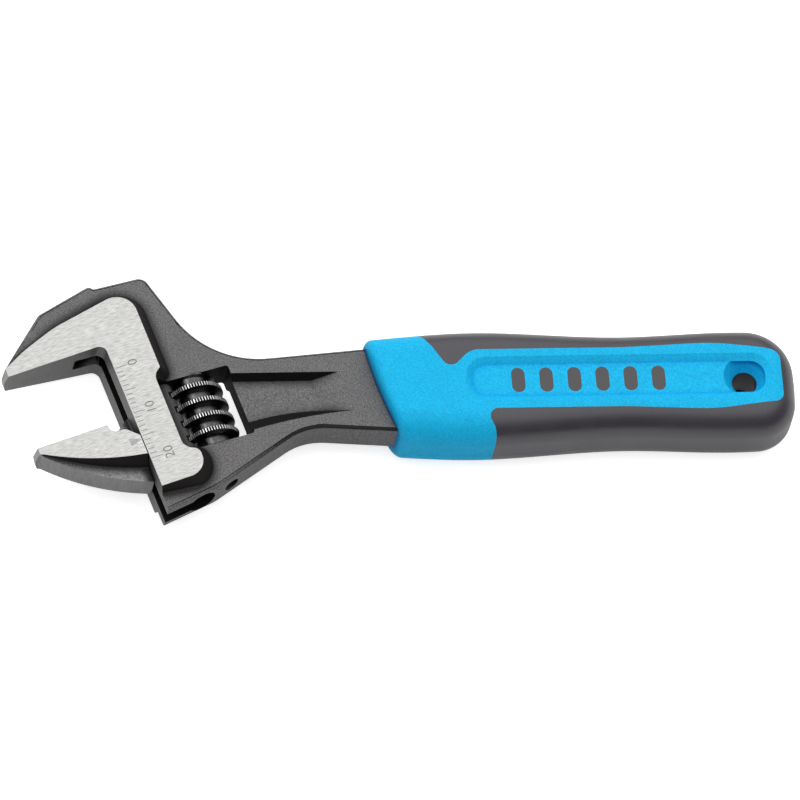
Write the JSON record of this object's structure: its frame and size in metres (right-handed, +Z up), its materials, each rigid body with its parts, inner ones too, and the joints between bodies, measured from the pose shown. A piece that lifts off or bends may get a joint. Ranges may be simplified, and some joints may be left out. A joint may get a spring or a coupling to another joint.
{
  "type": "adjustable wrench",
  "caption": "Adjustable wrench with slim tapered jaws, a sliding jaw driven by a knurled worm, a forged neck and a cushioned handle with a hanging hole.",
  "frame": {"origin": "centre of the bounding box in plan, at the level of the handle's back face", "axes": "+X along the handle from the head to the butt, +Y across it towards the fixed jaw, +Z up out of the face that carries the scale"},
  "size_m": [0.1514, 0.0498, 0.0146],
  "materials": {
    "forged_steel": "fine matt grain, with bright ground faces",
    "jaw_steel": "bright ground faces, matt below",
    "worm_steel": "black oxide, knurled",
    "pin_steel": "dark oiled",
    "spring_steel": "bright wire",
    "blue_shell": "satin moulded",
    "soft_grip": "fine matt moulded",
    "soft_inlay": "fine matt moulded"
  },
  "bodies": {
    "body": {"wrench_body": "forged_steel", "worm_pin": "pin_steel", "worm_spring": "spring_steel", "grip_core": "blue_shell", "grip_sleeve": "soft_grip", "grip_inlays": "soft_inlay"},
    "jaw": {"moving_jaw": "jaw_steel"},
    "worm": {"worm": "worm_steel"}
  },
  "joints": [
    {"name": "jaw_slide", "type": "slide", "parent": "body", "child": "jaw", "axis": [0.2706, -0.9627, 0], "range_m": [-0.01595, 0.009]},
    {"name": "worm_spin", "type": "hinge", "parent": "body", "child": "worm", "pos_m": [-0.03777, -0.00303, 0.0073], "axis": [0.2706, -0.9627, 0], "range_deg": [-1768, 998]}
  ],
  "couplings": [
    {"joint": "worm_spin", "follows": "jaw_slide", "rad_per_m": 1933.3}
  ]
}
